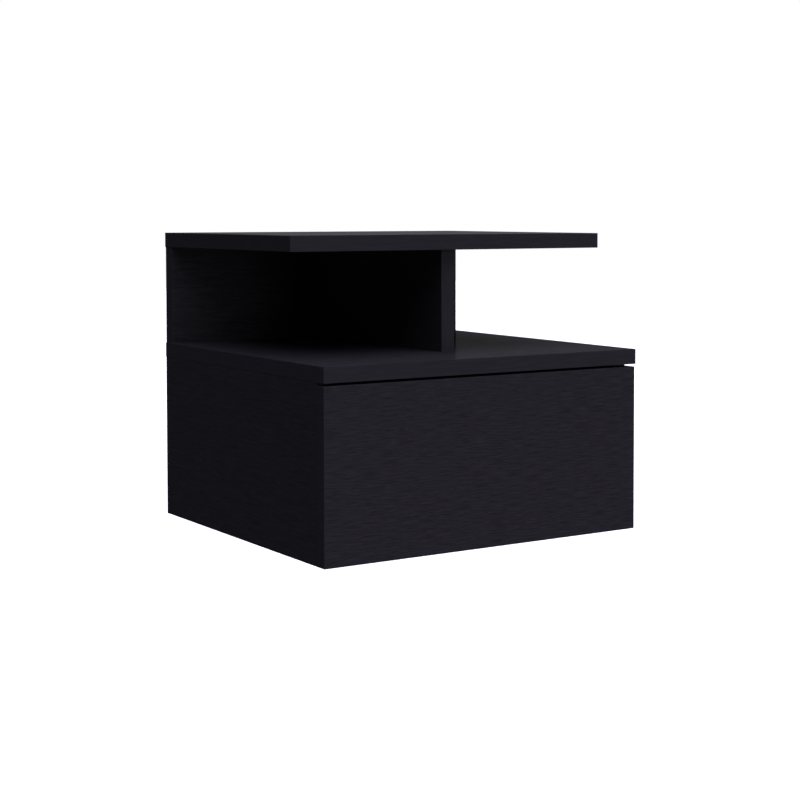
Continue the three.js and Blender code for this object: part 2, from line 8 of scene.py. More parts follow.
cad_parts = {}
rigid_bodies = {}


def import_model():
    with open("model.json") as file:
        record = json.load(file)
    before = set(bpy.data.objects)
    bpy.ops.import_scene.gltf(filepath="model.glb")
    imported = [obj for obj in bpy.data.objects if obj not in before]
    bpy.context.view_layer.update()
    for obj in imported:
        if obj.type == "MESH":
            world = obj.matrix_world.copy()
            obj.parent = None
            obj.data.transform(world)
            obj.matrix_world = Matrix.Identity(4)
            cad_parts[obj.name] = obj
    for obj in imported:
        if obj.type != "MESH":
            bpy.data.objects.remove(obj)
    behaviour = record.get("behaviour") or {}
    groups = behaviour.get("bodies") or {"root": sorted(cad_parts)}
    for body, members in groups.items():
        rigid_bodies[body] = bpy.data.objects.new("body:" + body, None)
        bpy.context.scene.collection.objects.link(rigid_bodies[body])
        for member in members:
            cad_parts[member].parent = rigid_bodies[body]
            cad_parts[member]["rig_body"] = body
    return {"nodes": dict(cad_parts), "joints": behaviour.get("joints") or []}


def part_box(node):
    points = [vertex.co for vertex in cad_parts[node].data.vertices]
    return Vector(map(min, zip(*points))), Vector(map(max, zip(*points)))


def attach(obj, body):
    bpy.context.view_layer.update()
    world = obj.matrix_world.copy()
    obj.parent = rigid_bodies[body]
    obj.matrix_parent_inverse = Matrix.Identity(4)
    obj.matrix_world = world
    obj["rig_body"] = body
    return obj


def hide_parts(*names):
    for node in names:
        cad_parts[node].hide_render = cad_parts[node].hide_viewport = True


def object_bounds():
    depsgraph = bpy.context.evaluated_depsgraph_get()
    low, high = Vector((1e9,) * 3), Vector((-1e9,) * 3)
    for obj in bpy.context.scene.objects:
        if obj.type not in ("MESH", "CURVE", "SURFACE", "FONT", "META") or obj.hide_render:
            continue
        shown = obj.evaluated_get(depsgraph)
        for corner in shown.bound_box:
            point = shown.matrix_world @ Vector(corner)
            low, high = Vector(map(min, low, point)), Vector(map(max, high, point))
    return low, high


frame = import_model()
cad_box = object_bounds()

# Camera
# It stands to the left of the front, a little above the top board, and looks slightly down through a long
# lens. The lens axis meets the picture right of its middle and above it, so the lens is shifted by as much.
PICTURE_PIXELS = 800
FOCAL_PIXELS = 1678.25
AXIS_PIXEL = (467.07, 285.89)
SENSOR_MM = 36
EYE = (-0.89369, -1.63334, 0.23278)
STRAIGHT_AHEAD = math.radians(90)
LOOK_DOWN = math.radians(2.479)
LOOK_RIGHT = math.radians(33.879)
lens = bpy.data.cameras.new("photo_lens")
lens.sensor_width = SENSOR_MM
lens.lens = FOCAL_PIXELS * SENSOR_MM / PICTURE_PIXELS
lens.shift_x = 0.5 - AXIS_PIXEL[0] / PICTURE_PIXELS
lens.shift_y = AXIS_PIXEL[1] / PICTURE_PIXELS - 0.5
camera = bpy.data.objects.new("photo_camera", lens)
camera.location = EYE
camera.rotation_euler = (STRAIGHT_AHEAD - LOOK_DOWN, 0, -LOOK_RIGHT)
bpy.context.scene.collection.objects.link(camera)
bpy.context.scene.camera = camera
bpy.context.scene.view_settings.view_transform = "Standard"


# Floor and light
# The stage of a product picture: a white floor well below the hanging piece, an even pale surrounding, a
# large soft lamp to the right of the front, a softer one overhead and a faint one behind, none mirrored.
class Shade:
    """What a node gives out, with the sums that a finish needs written as plain arithmetic."""

    def __init__(self, finish, socket):
        self.finish = finish
        self.socket = socket

    def calculate(self, operation, first, second):
        return self.finish.node("Math", {"operation": operation}, {0: first, 1: second})

    def __add__(self, other):
        return self.calculate("ADD", self, other)

    def __sub__(self, other):
        return self.calculate("SUBTRACT", self, other)

    def __rsub__(self, other):
        return self.calculate("SUBTRACT", other, self)

    def __mul__(self, other):
        return self.calculate("MULTIPLY", self, other)

    __radd__ = __add__
    __rmul__ = __mul__


MM = 0.001
MIX_SHARE = 0
MIX_COLOURS = (6, 7)
MIX_RESULT = 2


class Finish:
    """The nodes of one material, or of the surroundings."""

    def __init__(self, owner):
        owner.use_nodes = True
        self.owner = owner
        self.tree = owner.node_tree
        self.tree.nodes.clear()

    def node(self, kind, settings, sockets, output=0):
        """A node of a kind: its settings come first, then its sockets are set or linked."""
        made = self.tree.nodes.new("ShaderNode" + kind)
        for name, value in settings.items():
            if name == "stops":
                self.set_stops(made.color_ramp, value)
            else:
                setattr(made, name, value)
        for name, value in sockets.items():
            if isinstance(value, Shade):
                self.tree.links.new(value.socket, made.inputs[name])
            else:
                made.inputs[name].default_value = value
        return Shade(self, made.outputs[output]) if made.outputs else None

    def set_stops(self, ramp, stops):
        while len(ramp.elements) < len(stops):
            ramp.elements.new(1)
        for element, (place, tone) in zip(ramp.elements, stops):
            element.position = place
            element.color = (tone, tone, tone, 1)

    def mix(self, share, first, second):
        """One colour over another, by a share from 0 to 1."""
        sockets = {MIX_SHARE: share}
        for socket, colour in zip(MIX_COLOURS, (first, second)):
            sockets[socket] = (*colour, 1) if isinstance(colour, tuple) else colour
        return self.node("Mix", {"data_type": "RGBA"}, sockets, MIX_RESULT)

    def stretched(self, lengths):
        """Places on the piece, counted in lengths in mm along each axis."""
        place = self.node("TexCoord", {}, {}, "Object")
        scale = tuple(1 / (length * MM) for length in lengths)
        return self.node("VectorMath", {"operation": "MULTIPLY"}, {0: place, 1: scale})

    def grain(self, lengths, detail=3.0, roughness=0.55, waviness=0.0):
        sockets = {"Vector": self.stretched(lengths), "Scale": 1, "Detail": detail,
                   "Roughness": roughness, "Distortion": waviness}
        return self.node("TexNoise", {}, sockets)

    def mottle(self, size, detail):
        """A grain of the same size along each axis."""
        return self.grain((size, size, size), detail)

    def ramp(self, value, *stops):
        return self.node("ValToRGB", {"stops": stops}, {0: value})

    def done(self, sockets, relief=None, depth=0.0):
        """Joins a shader to the surface, with linked and plain sockets and a relief of some depth in mm."""
        if relief is not None:
            bump = {"Strength": 1, "Distance": depth * MM, "Height": relief}
            sockets = {**sockets, "Normal": self.node("Bump", {}, bump)}
        shader = self.node("BsdfPrincipled", {}, sockets)
        self.node("OutputMaterial", {}, {"Surface": shader})
        return self.owner


def new_finish(name):
    return Finish(bpy.data.materials.new(name))


SURROUNDING_LIGHT = 0.135
KEY_LIGHT = 0.84
KEY_PLACE = Vector((5.2, -7.2, 0.3))
KEY_WIDTH = 10.0
KEY_HEIGHT = 3.8
OVERHEAD_LIGHT = 1.45
OVERHEAD_PLACE = Vector((-0.15, -0.62, 2))
OVERHEAD_SOFTNESS = math.radians(80)
BACKDROP_LIGHT = 0.35
BACKDROP_PLACE = Vector((0, 2, 0))
BACKDROP_SOFTNESS = math.radians(20)
DAYLIGHT_TINT = (0.96, 0.96, 1.12)
FLOOR_DROP = 1.2
FLOOR_REACH = 30
FLOOR_SEEN = (0.95, 0.95, 0.95)
FLOOR_BOUNCE = (0.16, 0.16, 0.16)


def seen_or_mirrored(finish):
    """1 for what is seen, directly, in a gloss or through glass, and 0 for the light on the piece."""
    rays = ("Is Camera Ray", "Is Glossy Ray", "Is Transmission Ray")
    seen, mirrored, through = (finish.node("LightPath", {}, {}, ray) for ray in rays)
    return seen + mirrored + through


surrounding = Finish(bpy.context.scene.world or bpy.data.worlds.new("studio"))
bpy.context.scene.world = surrounding.owner
strength = SURROUNDING_LIGHT + (1 - SURROUNDING_LIGHT) * seen_or_mirrored(surrounding)
light = surrounding.node("Background", {}, {"Color": (1, 1, 1, 1), "Strength": strength})
surrounding.node("OutputWorld", {}, {"Surface": light})


def hang_lamp(lamp, place):
    """Puts a lamp in place, aimed at the origin, and hidden from the camera and from what is mirrored."""
    holder = bpy.data.objects.new(lamp.name, lamp)
    holder.location = place
    holder.rotation_euler = place.to_track_quat("Z", "Y").to_euler()
    holder.visible_camera = False
    holder.visible_glossy = False
    bpy.context.scene.collection.objects.link(holder)


# A light of 1 brings white board that faces the lamp to plain white.
softbox = bpy.data.lights.new("key_softbox", "AREA")
softbox.shape = "RECTANGLE"
softbox.size = KEY_WIDTH
softbox.size_y = KEY_HEIGHT
softbox.energy = KEY_LIGHT * (math.pi * KEY_PLACE.length) ** 2
hang_lamp(softbox, KEY_PLACE)
far_lamps = (
    ("overhead_lamp", OVERHEAD_LIGHT, OVERHEAD_SOFTNESS, OVERHEAD_PLACE),
    ("backdrop_glow", BACKDROP_LIGHT, BACKDROP_SOFTNESS, BACKDROP_PLACE),
)
for name, share, softness, place in far_lamps:
    far_lamp = bpy.data.lights.new(name, "SUN")
    far_lamp.energy = share * math.pi
    far_lamp.angle = softness
    far_lamp.color = DAYLIGHT_TINT
    hang_lamp(far_lamp, place)

floor_level = cad_box[0].z - FLOOR_DROP
floor_mesh = bpy.data.meshes.new("studio_floor")
quarters = ((-1, -1), (1, -1), (1, 1), (-1, 1))
corners = [(x * FLOOR_REACH, y * FLOOR_REACH, floor_level) for x, y in quarters]
floor_mesh.from_pydata(corners, [], [range(len(corners))])
floor = bpy.data.objects.new("studio_floor", floor_mesh)
bpy.context.scene.collection.objects.link(floor)
paint = new_finish("studio_floor_paint")
floor_colour = paint.mix(seen_or_mirrored(paint), FLOOR_BOUNCE, FLOOR_SEEN)
matt = {"Base Color": floor_colour, "Roughness": 1, "Specular IOR Level": 0}
floor_mesh.materials.append(paint.done(matt))


# Boards of the case and the drawer's front
# Chipboard faced with black melamine, embossed with a fine brushed grain that runs level on every face. The
# edges carry glued strips with a fainter lengthwise grain, eased by a hair. Bores show the raw chipboard.
BLACK_LOW = (0.0100, 0.0094, 0.0117)
BLACK_HIGH = (0.0172, 0.0162, 0.0198)
SHEEN = 0.22
SHEEN_SPREAD = 0.6
COAT = {"Specular IOR Level": 0, "Coat IOR": 1.008, "Coat Roughness": 0.16}
MELAMINE_ROUGHNESS = 0.34
HOLLOWS_ROUGHER = 0.12
PATCHES_ROUGHER = 0.06
STROKE_SHARE = 0.6
FINENESS = 2.6
STRIP_ROUGHNESS = 0.30
PORES_ROUGHER = 0.1
GLUED_CHIP = (0.20, 0.12, 0.06)
PALE_CHIP = (0.42, 0.29, 0.17)
CHIP_LENGTHS = (2.6, 2.6, 0.9)
STROKE_LEVEL_X = (20, 1, 1)
STROKE_LEVEL_Y = (1, 20, 1)
STRIP_LEVEL = (22, 22, 1.1)
STRIP_UPRIGHT = (1.1, 1.1, 22)


def melamine(name, streak, contrast, relief):
    """Brushed melamine. The streak is a typical stroke's length along each axis, in mm as the relief is."""
    finish = new_finish(name)
    fine_streak = [length / FINENESS for length in streak]
    strokes = finish.grain(streak, detail=2, roughness=0.5, waviness=0.1)
    fine = finish.grain(fine_streak, detail=2, roughness=0.5, waviness=0.1)
    patches = finish.mottle(60, detail=1)
    brushed = STROKE_SHARE * strokes + (1 - STROKE_SHARE) * fine
    mask = finish.ramp(brushed, (0.4, 0.5 - contrast), (0.6, 0.5 + contrast))
    colour = finish.mix(mask, BLACK_LOW, BLACK_HIGH)
    roughness = MELAMINE_ROUGHNESS + HOLLOWS_ROUGHER * (1 - mask) + PATCHES_ROUGHER * patches
    sheen = SHEEN * (1 - SHEEN_SPREAD / 2 + SHEEN_SPREAD * mask)
    sockets = {"Base Color": colour, "Roughness": roughness, "Coat Weight": sheen, **COAT}
    return finish.done(sockets, relief=strokes + 0.5 * fine, depth=relief)


def edge_strip(name, streak):
    """A strip glued on an edge: the same black, smoother, with a faint grain along it."""
    finish = new_finish(name)
    lines = finish.grain(streak, detail=2, roughness=0.5, waviness=0.15)
    pores = finish.mottle(0.7, detail=1)
    mask = finish.ramp(lines, (0.3, 0.35), (0.7, 0.8))
    colour = finish.mix(mask, BLACK_LOW, BLACK_HIGH)
    roughness = STRIP_ROUGHNESS + PORES_ROUGHER * pores
    sockets = {"Base Color": colour, "Roughness": roughness, "Coat Weight": SHEEN, **COAT}
    return finish.done(sockets, relief=lines + 0.2 * pores, depth=0.02)


def chipboard():
    """Raw chipboard in a bore: pale chips in darker glue."""
    finish = new_finish("raw_chipboard")
    chip_places = {"Vector": finish.stretched(CHIP_LENGTHS), "Scale": 1}
    chips = finish.node("TexVoronoi", {"feature": "F1"}, chip_places, "Color")
    tone = finish.node("SeparateColor", {}, {0: chips})
    colour = finish.mix(tone, GLUED_CHIP, PALE_CHIP)
    return finish.done({"Base Color": colour, "Roughness": 0.7 + 0.25 * tone}, relief=tone, depth=0.2)


brushed_x = melamine("brushed_black_along_x", STROKE_LEVEL_X, contrast=0.45, relief=0.12)
brushed_y = melamine("brushed_black_along_y", STROKE_LEVEL_Y, contrast=0.28, relief=0.03)
strip_level = edge_strip("edge_strip_level", STRIP_LEVEL)
strip_upright = edge_strip("edge_strip_upright", STRIP_UPRIGHT)
raw = chipboard()

WELD = 0.0001 * MM
ONE_PLANE = math.radians(0.5)
SOFT_BEND = math.radians(40)
ARRIS = 0.4 * MM
NEAR = 0.02 * MM
AT_RIGHT_ANGLES = 0.1
ALONG_AN_AXIS = 0.999
REAR = (1, 1)
BOTTOM = (2, 0)
TOP = (2, 1)
FACE, STRIP, CORE, UNDERSIDE = range(4)


def shape_of(node):
    """The CAD shape of a piece as one welded mesh with its flat faces whole."""
    made = bmesh.new()
    made.from_mesh(frame["nodes"][node].data)
    bmesh.ops.remove_doubles(made, verts=made.verts, dist=WELD)
    bmesh.ops.dissolve_limit(made, angle_limit=ONE_PLANE, verts=made.verts, edges=made.edges)
    return made


def put_in_place(node, made, finishes, flat=(), soft_bend=SOFT_BEND):
    """Turns a shape into the visible piece that stands for a node.

    Bends up to the soft one are shaded round, but faces of the flat finishes, given by number, stay flat.
    """
    mesh = bpy.data.meshes.new(node + "_shown")
    made.to_mesh(mesh)
    made.free()
    mesh.set_sharp_from_angle(angle=soft_bend)
    for face in mesh.polygons:
        face.use_smooth = face.material_index not in flat
    for finish in finishes:
        mesh.materials.append(finish)
    piece = bpy.data.objects.new(node + "_shown", mesh)
    bpy.context.scene.collection.objects.link(piece)
    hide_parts(node)
    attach(piece, frame["nodes"][node]["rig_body"])


def board(node, faced, strip, core=raw, bare_underside=None, butted=()):
    """A board with eased outer arrises: two large faces, strips on its edges, and the core in its bores.

    An end that butts on another board, given as its axis and 0 for low or 1 for high, keeps sharp arrises.
    """
    low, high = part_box(node)
    size = high - low
    thin = min(range(3), key=lambda axis: size[axis])
    made = shape_of(node)

    def ends(place, reach):
        """The axes along which a place lies within reach of an end of the board."""
        return {axis for axis in range(3) if min(place[axis] - low[axis], high[axis] - place[axis]) < reach}

    def is_free_arris(edge):
        place, other = (corner.co for corner in edge.verts)
        outer = ends(place, NEAR) & ends(other, NEAR)
        across = {axis for axis in outer if abs(other[axis] - place[axis]) < NEAR}
        if len(across) != 2 or len(edge.link_faces) != 2:
            return False
        if any(axis in across and abs((low, high)[end][axis] - place[axis]) < NEAR for axis, end in butted):
            return False
        first, second = (face.normal for face in edge.link_faces)
        return abs(first.dot(second)) < AT_RIGHT_ANGLES

    arrises = [edge for edge in made.edges if is_free_arris(edge)]
    bmesh.ops.bevel(made, geom=arrises, offset=ARRIS, segments=2, profile=0.5, affect="EDGES")
    for face in made.faces:
        middle = face.calc_center_median()
        outer = ends(middle, ARRIS + NEAR)
        square = max(abs(component) for component in face.normal) > ALONG_AN_AXIS
        large = square and ends(middle, NEAR) == {thin}
        if large and bare_underside and face.normal.z < 0:
            face.material_index = UNDERSIDE
        elif large:
            face.material_index = FACE
        elif outer and (square or len(outer) > 1):
            face.material_index = STRIP
        else:
            face.material_index = CORE
    finishes = [faced, strip, core] + ([bare_underside] if bare_underside else [])
    put_in_place(node, made, finishes, flat=(FACE, STRIP, UNDERSIDE))


board("top_board", brushed_x, strip_level)
board("shelf_board", brushed_x, strip_level)
board("upper_back_panel", brushed_x, strip_upright, butted=(BOTTOM, TOP))
board("divider", brushed_y, strip_upright, butted=(BOTTOM, TOP, REAR))
board("left_side", brushed_y, strip_level, butted=(TOP,))
board("right_side", brushed_y, strip_level, butted=(TOP,))
board("lower_back_panel", brushed_x, strip_level, butted=(TOP,))
board("drawer_front", brushed_x, strip_level)


# Box of the drawer
# Thinner boards in the same black, plain and without the brushed grain, round a hardboard bottom that sits
# in grooves. The hardboard is lacquered black on its upper side. Its cut edges and underside stay brown.
PLAIN_LOW = (0.0105, 0.0100, 0.0122)
PLAIN_HIGH = (0.0150, 0.0143, 0.0170)
LACQUER_TONES = ((0.012, 0.0115, 0.0135), (0.020, 0.019, 0.0215))
CUT_EDGE_TONES = ((0.055, 0.032, 0.017), (0.13, 0.08, 0.045))
UNDERSIDE_TONES = ((0.085, 0.050, 0.027), (0.15, 0.095, 0.054))


def plain_board():
    finish = new_finish("plain_black_board")
    orange_peel = finish.mottle(1.4, detail=2)
    clouds = finish.mottle(45, detail=2)
    colour = finish.mix(clouds, PLAIN_LOW, PLAIN_HIGH)
    sockets = {"Base Color": colour, "Roughness": 0.5 + 0.16 * orange_peel, "Specular IOR Level": 0.06}
    return finish.done(sockets, relief=orange_peel, depth=0.03)


def hardboard(name, tones, fibre_lengths):
    """Pressed fibres between a low and a high tone, with a typical fibre's length along each axis in mm."""
    finish = new_finish(name)
    fibres = finish.grain(fibre_lengths, detail=4, roughness=0.7, waviness=0.6)
    mask = finish.ramp(fibres, (0.3, 0.0), (0.7, 1.0))
    colour = finish.mix(mask, *tones)
    sockets = {"Base Color": colour, "Roughness": 0.6 + 0.2 * mask, "Specular IOR Level": 0.12}
    return finish.done(sockets, relief=fibres, depth=0.06)


plain_black = plain_board()
lacquered = hardboard("lacquered_hardboard", LACQUER_TONES, (1.8, 1.8, 1.8))
fibre_edge = hardboard("hardboard_edge", CUT_EDGE_TONES, (1.2, 1.2, 0.4))
fibre_underside = hardboard("hardboard_underside", UNDERSIDE_TONES, (2.4, 2.4, 2.4))
for name in ("drawer_left_side", "drawer_right_side", "drawer_back"):
    board(name, plain_black, strip_level)
board("drawer_bottom", lacquered, fibre_edge, core=fibre_edge, bare_underside=fibre_underside)


# Runners
# Folded steel sheet with a pale grey powder coat, punched with holes and slots for other cabinets. The
# nylon rollers have worn a bright track into the coat of the case's runner and of the drawer runner's rail.
CROSSWISE = Vector((1, 0, 0))
LENGTHWISE = Vector((0, 1, 0))
UPWARDS = Vector((0, 0, 1))
INWARDS = {"left": CROSSWISE, "right": -CROSSWISE}
COAT_LOW = (0.40, 0.41, 0.42)
COAT_HIGH = (0.50, 0.51, 0.52)
BRIGHT_STEEL = (0.56, 0.56, 0.55)
WORN_SHARE = 0.7
SCRATCH_LENGTHS = (0.35, 25, 0.35)
TRACK_DEPTH = 0.4 * MM
PUNCH_RADIUS = 2.2
PUNCH_REACH = 3
PUNCH_SIDES = 26
TURNED_SIDES = 40
# Each hole's place from the runner's front end, and by how much it is drawn out into a slot, in mm
CASE_HOLES = ((67, 0), (99, 8), (163, 8), (195, 0), (227, 8))
DRAWER_HOLES = ((66, 8), (100, 0), (150, 8), (200, 0))


def powder_coat(name, track):
    """Powder coat, worn bright inside a track, given as its middle and half its size along each axis."""
    finish = new_finish(name)
    skin = finish.mottle(0.5, detail=2)
    clouds = finish.mottle(30, detail=2)
    scratches = finish.grain(SCRATCH_LENGTHS, detail=3, roughness=0.7)
    worn = finish.ramp(scratches, (0.38, 0.0), (0.56, 1.0))
    place = finish.node("TexCoord", {}, {}, "Object")
    for axis, (middle, half) in enumerate(track):
        along = finish.node("SeparateXYZ", {}, {0: place}, axis)
        worn = worn * finish.node("Math", {"operation": "COMPARE"}, {0: along, 1: middle, 2: half})
    coated = finish.mix(clouds, COAT_LOW, COAT_HIGH)
    colour = finish.mix(WORN_SHARE * worn, coated, BRIGHT_STEEL)
    roughness = 0.38 + 0.2 * skin - 0.16 * worn
    sockets = {"Base Color": colour, "Roughness": roughness, "Metallic": 0.8 * worn}
    return finish.done(sockets, relief=skin - 0.4 * worn, depth=0.03)


def turned(profile, sides=TURNED_SIDES, relief=None):
    """A piece turned about its own Z axis from (radius, height) pairs. Relief is taken off its radius."""
    made = bmesh.new()
    rings = []
    closed = profile[0] == profile[-1]
    for radius, height in profile[:-1] if closed else profile:
        turns = [2 * math.pi * step / sides for step in range(sides if radius else 1)]
        reaches = [radius - (relief(turn, height) if relief else 0) for turn in turns]
        rings.append([made.verts.new((reach * math.cos(turn), reach * math.sin(turn), height))
                      for turn, reach in zip(turns, reaches)])
    for lower, upper in zip(rings, rings[1:] + rings[:closed]):
        for step in range(sides):
            around = [lower[step % len(lower)], lower[(step + 1) % len(lower)],
                      upper[(step + 1) % len(upper)], upper[step % len(upper)]]
            made.faces.new(dict.fromkeys(around))
    bmesh.ops.recalc_face_normals(made, faces=made.faces)
    return made


def rod(radius, low, high, sides=TURNED_SIDES):
    return turned([(0, low), (radius, low), (radius, high), (0, high)], sides)


def moved(made, place, along, across, scale=1):
    """Turns a piece's Z axis along one direction and its X axis along another, and moves it to a place."""
    turn = Matrix((across, along.cross(across), along)).transposed().to_4x4()
    made.transform(Matrix.Translation(place) @ turn @ Matrix.Scale(scale, 4))
    return made


def cut(body, cutters):
    """The body with the cutters' shapes taken out of it."""
    holders = []
    for made in (body, *cutters):
        mesh = bpy.data.meshes.new("cutting")
        made.to_mesh(mesh)
        made.free()
        holders.append(bpy.data.objects.new("cutting", mesh))
        bpy.context.scene.collection.objects.link(holders[-1])
    for cutter in holders[1:]:
        step = holders[0].modifiers.new("cut", "BOOLEAN")
        step.operation = "DIFFERENCE"
        step.solver = "EXACT"
        step.object = cutter
    rest = bmesh.new()
    rest.from_object(holders[0], bpy.context.evaluated_depsgraph_get())
    for holder in holders:
        mesh = holder.data
        bpy.data.objects.remove(holder)
        bpy.data.meshes.remove(mesh)
    return rest


def punch(place, facing, drawn_out):
    """The cutter of a round hole, or of a slot if it is drawn out along the runner."""
    made = rod(PUNCH_RADIUS, -PUNCH_REACH, PUNCH_REACH, PUNCH_SIDES)
    for corner in made.verts:
        corner.co.x += math.copysign(drawn_out / 2, corner.co.x)
    return moved(made, place, facing, LENGTHWISE, MM)


def worn_by(roller, level, travel):
    """The track that a roller wears at a level: its middle and half its size along each axis."""
    low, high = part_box(roller)
    middle = (low + high) / 2
    run = (middle.y + travel / 2, abs(travel) / 2)
    return (middle.x, (high.x - low.x) / 2), run, (level, TRACK_DEPTH)


def punched_runner(name, track, holes, across, level, facing):
    """A runner in its worn coat, with a line of holes punched through it at a place across and a level."""
    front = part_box(name)[0].y
    coat = powder_coat(name + "_coat", track)
    punches = [punch((across, front + place * MM, level), facing, drawn_out) for place, drawn_out in holes]
    put_in_place(name, cut(shape_of(name), punches), (coat,))


slide = next(joint for joint in frame["joints"] if joint["name"] == "drawer_slide")
travel = slide["range_m"][1]
for hand, inwards in INWARDS.items():
    case_roller = "case_" + hand + "_roller"
    drawer_roller = "drawer_" + hand + "_roller"
    name = "case_runner_" + hand
    low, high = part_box(name)
    web = low.x if hand == "left" else high.x
    screw_low, screw_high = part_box("case_runner_screw_" + hand + "_front")
    track = worn_by(drawer_roller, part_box(drawer_roller)[0].z, -travel)
    punched_runner(name, track, CASE_HOLES, web, (screw_low.z + screw_high.z) / 2, inwards)
    name = "drawer_runner_" + hand
    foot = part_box(name)[0].z
    screw_low, screw_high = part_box("drawer_runner_screw_" + hand + "_front")
    track = worn_by(case_roller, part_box(case_roller)[1].z, travel)
    punched_runner(name, track, DRAWER_HOLES, (screw_low.x + screw_high.x) / 2, foot, UPWARDS)


# Fittings
# Bright zinc-plated bolts, screws and rivets, cast zinc cam housings with a cross and an arrow, white nylon
# rollers that turn on the rivets, and fluted beech dowels. All are turned or cast to fit their holes.
PLATE_LOW = (0.50, 0.51, 0.53)
PLATE_HIGH = (0.64, 0.65, 0.64)
PLATE_SCRATCH_LENGTHS = (0.4, 2.4, 0.4)
CAST_LOW = (0.36, 0.37, 0.38)
CAST_HIGH = (0.52, 0.53, 0.54)
NYLON_LOW = (0.74, 0.73, 0.69)
NYLON_HIGH = (0.82, 0.81, 0.78)
BEECH_LOW = (0.48, 0.30, 0.15)
BEECH_HIGH = (0.62, 0.42, 0.24)
BEECH_FLECK = (0.30, 0.16, 0.07)
FLECK_SHARE = 0.6
GROWTH_LENGTHS = (1.4, 1.4, 16)
FLECK_LENGTHS = (0.25, 0.25, 2.2)
SOFT_TURNING = math.radians(35)
OVERCUT = 1
BOLT_HEIGHT = 3.45
THREAD_SIDES = 32
THREAD_DEPTH = 0.5
STEPS_IN_A_TURN = 6


def plated():
    finish = new_finish("zinc_plate")
    stain = finish.mottle(4, detail=3)
    scratch = finish.grain(PLATE_SCRATCH_LENGTHS, detail=2)
    colour = finish.mix(stain, PLATE_LOW, PLATE_HIGH)
    sockets = {"Base Color": colour, "Roughness": 0.24 + 0.22 * scratch, "Metallic": 1}
    return finish.done(sockets, relief=scratch, depth=0.01)


def cast():
    finish = new_finish("cast_zinc")
    pits = finish.mottle(0.6, detail=3)
    colour = finish.mix(pits, CAST_LOW, CAST_HIGH)
    sockets = {"Base Color": colour, "Roughness": 0.42 + 0.25 * pits, "Metallic": 1}
    return finish.done(sockets, relief=pits, depth=0.04)


def white_nylon():
    finish = new_finish("white_nylon")
    skin = finish.mottle(0.8, detail=2)
    tint = finish.mottle(9, detail=1)
    colour = finish.mix(tint, NYLON_LOW, NYLON_HIGH)
    return finish.done({"Base Color": colour, "Roughness": 0.36 + 0.14 * skin}, relief=skin, depth=0.01)


def beech():
    finish = new_finish("beech")
    growth = finish.grain(GROWTH_LENGTHS, detail=3, waviness=0.3)
    flecks = finish.ramp(finish.grain(FLECK_LENGTHS, detail=1), (0.60, 0.0), (0.68, 1.0))
    wood = finish.mix(growth, BEECH_LOW, BEECH_HIGH)
    colour = finish.mix(FLECK_SHARE * flecks, wood, BEECH_FLECK)
    return finish.done({"Base Color": colour, "Roughness": 0.55 + 0.2 * growth}, relief=growth, depth=0.03)


metal = plated()
castings = cast()
nylon = white_nylon()
dowel_wood = beech()


def length_of(node, along):
    low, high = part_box(node)
    return abs((high - low).dot(along)) / MM


def fit_in(node, made, finish, along, across):
    """Sets a fitting, made in mm, with its own Z axis along a direction and its foot on the node's end."""
    low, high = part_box(node)
    foot = (low + high) / 2 - along * length_of(node, along) * MM / 2
    put_in_place(node, moved(made, foot, along, across, MM), (finish,), soft_bend=SOFT_TURNING)


def turn_in(node, made, along):
    """Sets a plated fitting that is turned in, so that its own X axis may point anywhere."""
    across = LENGTHWISE if along.dot(LENGTHWISE) == 0 else UPWARDS
    fit_in(node, made, metal, along, across)


def block(x, y, z):
    """A block between two places along each axis."""
    made = bmesh.new()
    bmesh.ops.create_cube(made, size=1)
    for corner in made.verts:
        corner.co = [ends[corner.co[axis] > 0] for axis, ends in enumerate((x, y, z))]
    return made


def cross(length, width, low, high):
    """The cutters of a driver's cross."""
    long, short = (-length / 2, length / 2), (-width / 2, width / 2)
    return [block(long, short, (low, high)), block(short, long, (low, high))]


def eased(radius, low, high, ease):
    """The profile of a round stretch with eased ends."""
    return [(radius - ease, low), (radius, low + ease), (radius, high - ease), (radius - ease, high)]


def dome(radius, height, steps=6):
    """The profile of a domed head, from its crown to its rim."""
    turns = [math.pi / 2 * step / steps for step in range(steps + 1)]
    return [(radius * math.sin(turn), height * (1 - math.cos(turn))) for turn in turns]


def thread(radius, low, high, pitch):
    """The profile of a threaded stretch, in steps fine enough for its helix."""
    steps = round(STEPS_IN_A_TURN * (high - low) / pitch)
    return [(radius, low + (high - low) * step / steps) for step in range(steps + 1)]


def helix(low, high, pitch, depth=THREAD_DEPTH):
    """How deep a thread goes below its crest at a turn and height. It runs out at both ends."""
    def below_crest(turn, height):
        runout = min(1, (height - low) / pitch, (high - height) / pitch)
        phase = (height / pitch - turn / (2 * math.pi)) % 1
        return depth * max(0, runout) * (1 - abs(2 * phase - 1) ** 3)
    return below_crest


def flutes(count, depth, low, high):
    """How deep a dowel's flutes go below its crests at a turn, between two heights."""
    def below_crest(turn, height):
        return depth * abs(math.sin(count * turn / 2)) if low < height < high else 0
    return below_crest


def cam(node, along, bolt_side):
    """A cam's housing: hollow for the bolt's head, with a driver's cross and an arrow towards the bolt."""
    radius = 7.3
    top = length_of(node, along)
    axis = Vector((0, 0, BOLT_HEIGHT))
    housing = turned([(0, 0), *eased(radius, low=0, high=top, ease=0.4), (0, top)], sides=64)
    chamber = moved(rod(radius=2.95, low=-2.5, high=2.5), axis, CROSSWISE, UPWARDS)
    way = moved(rod(radius=2.25, low=0, high=radius + OVERCUT), axis, CROSSWISE, UPWARDS)
    arrow = rod(radius=0.9, low=top - 0.5, high=top + OVERCUT, sides=3)
    arrow = moved(arrow, CROSSWISE * 5.5, UPWARDS, CROSSWISE)
    driver = cross(length=8, width=1.6, low=top - 2, high=top + OVERCUT)
    fit_in(node, cut(housing, [chamber, way, arrow, *driver]), castings, along, bolt_side)


